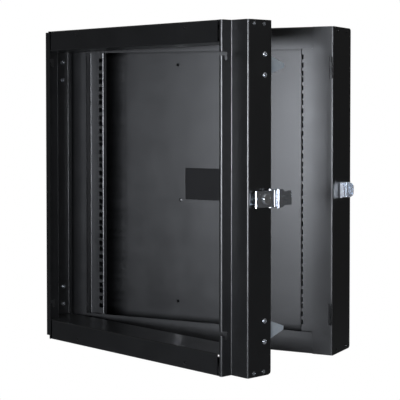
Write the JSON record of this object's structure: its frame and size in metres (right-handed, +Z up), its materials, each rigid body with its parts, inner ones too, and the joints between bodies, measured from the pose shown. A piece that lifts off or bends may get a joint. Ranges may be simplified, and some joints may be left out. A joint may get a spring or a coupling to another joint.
{
  "type": "wall mount network cabinet",
  "caption": "Folded-sheet wall cabinet for rack equipment: a shallow wall box with square-hole rails and a swing-out front frame with a lockable draw latch.",
  "frame": {"origin": "centre of the four wall holes, on the wall plane, at half the cabinet's width and height", "axes": "+X to the right of someone facing the cabinet, +Y into the wall, +Z up"},
  "size_m": [0.6376, 0.3686, 0.635],
  "materials": {
    "black_coat": "fine-grain satin black powder coat on folded steel",
    "matt_black": "matt black coat on a steel blanking plate",
    "zinc": "bright zinc plate, faintly blue",
    "chrome": "polished chrome plate"
  },
  "bodies": {
    "wall_box": {"box_top_panel": "black_coat", "box_bottom_panel": "black_coat", "box_left_panel": "black_coat", "box_right_panel": "black_coat", "box_back_panel": "black_coat", "cable_entry_cover": "matt_black", "cable_cover_screws": "black_coat", "rail_left": "black_coat", "rail_right": "black_coat", "box_side_rivets": "black_coat", "latch_keeper": "zinc", "keeper_rivets": "zinc", "hinge_box_screws": "zinc", "hinge_box_nuts": "zinc", "hinge_box_leaf_upper": "black_coat", "hinge_box_leaf_lower": "black_coat", "hinge_pin_upper": "zinc", "hinge_pin_lower": "zinc"},
    "swing_frame": {"frame_left_post": "black_coat", "frame_right_post": "black_coat", "frame_top_beam": "black_coat", "frame_bottom_beam": "black_coat", "frame_side_rivets": "black_coat", "frame_face_rivets": "black_coat", "hinge_frame_screws": "zinc", "hinge_frame_nuts": "zinc", "hinge_frame_leaf_upper": "black_coat", "hinge_frame_leaf_lower": "black_coat", "tongue_upper": "zinc", "tongue_lower": "zinc", "tongue_screws": "zinc", "tongue_nuts": "zinc", "latch_base": "zinc", "latch_base_rivets": "zinc", "latch_fulcrum_pin": "zinc"},
    "latch_lever": {"latch_lever": "zinc", "lock_barrel": "chrome", "claw_rod": "zinc"},
    "latch_claw": {"latch_claw": "zinc"},
    "lock_plug": {"lock_plug": "chrome", "lock_cam": "zinc"}
  },
  "joints": [
    {"name": "frame_swing", "type": "hinge", "parent": "wall_box", "child": "swing_frame", "pos_m": [-0.305, -0.0975, 0], "axis": [0, 0, -1], "range_deg": [-20, 90]},
    {"name": "lever_lift", "type": "hinge", "parent": "swing_frame", "child": "latch_lever", "pos_m": [0.27043, -0.31173, 0], "axis": [0, 0, 1], "range_deg": [0, 90]},
    {"name": "claw_turn", "type": "hinge", "parent": "latch_lever", "child": "latch_claw", "pos_m": [0.26676, -0.3189, 0], "axis": [0, 0, 1], "range_deg": [-90, 0]},
    {"name": "key_turn", "type": "hinge", "parent": "latch_lever", "child": "lock_plug", "pos_m": [0.26689, -0.33492, 0], "axis": [0.9397, -0.342, 0], "range_deg": [0, 90]}
  ],
  "couplings": [
    {"joint": "claw_turn", "follows": "lever_lift", "ratio": -1}
  ]
}
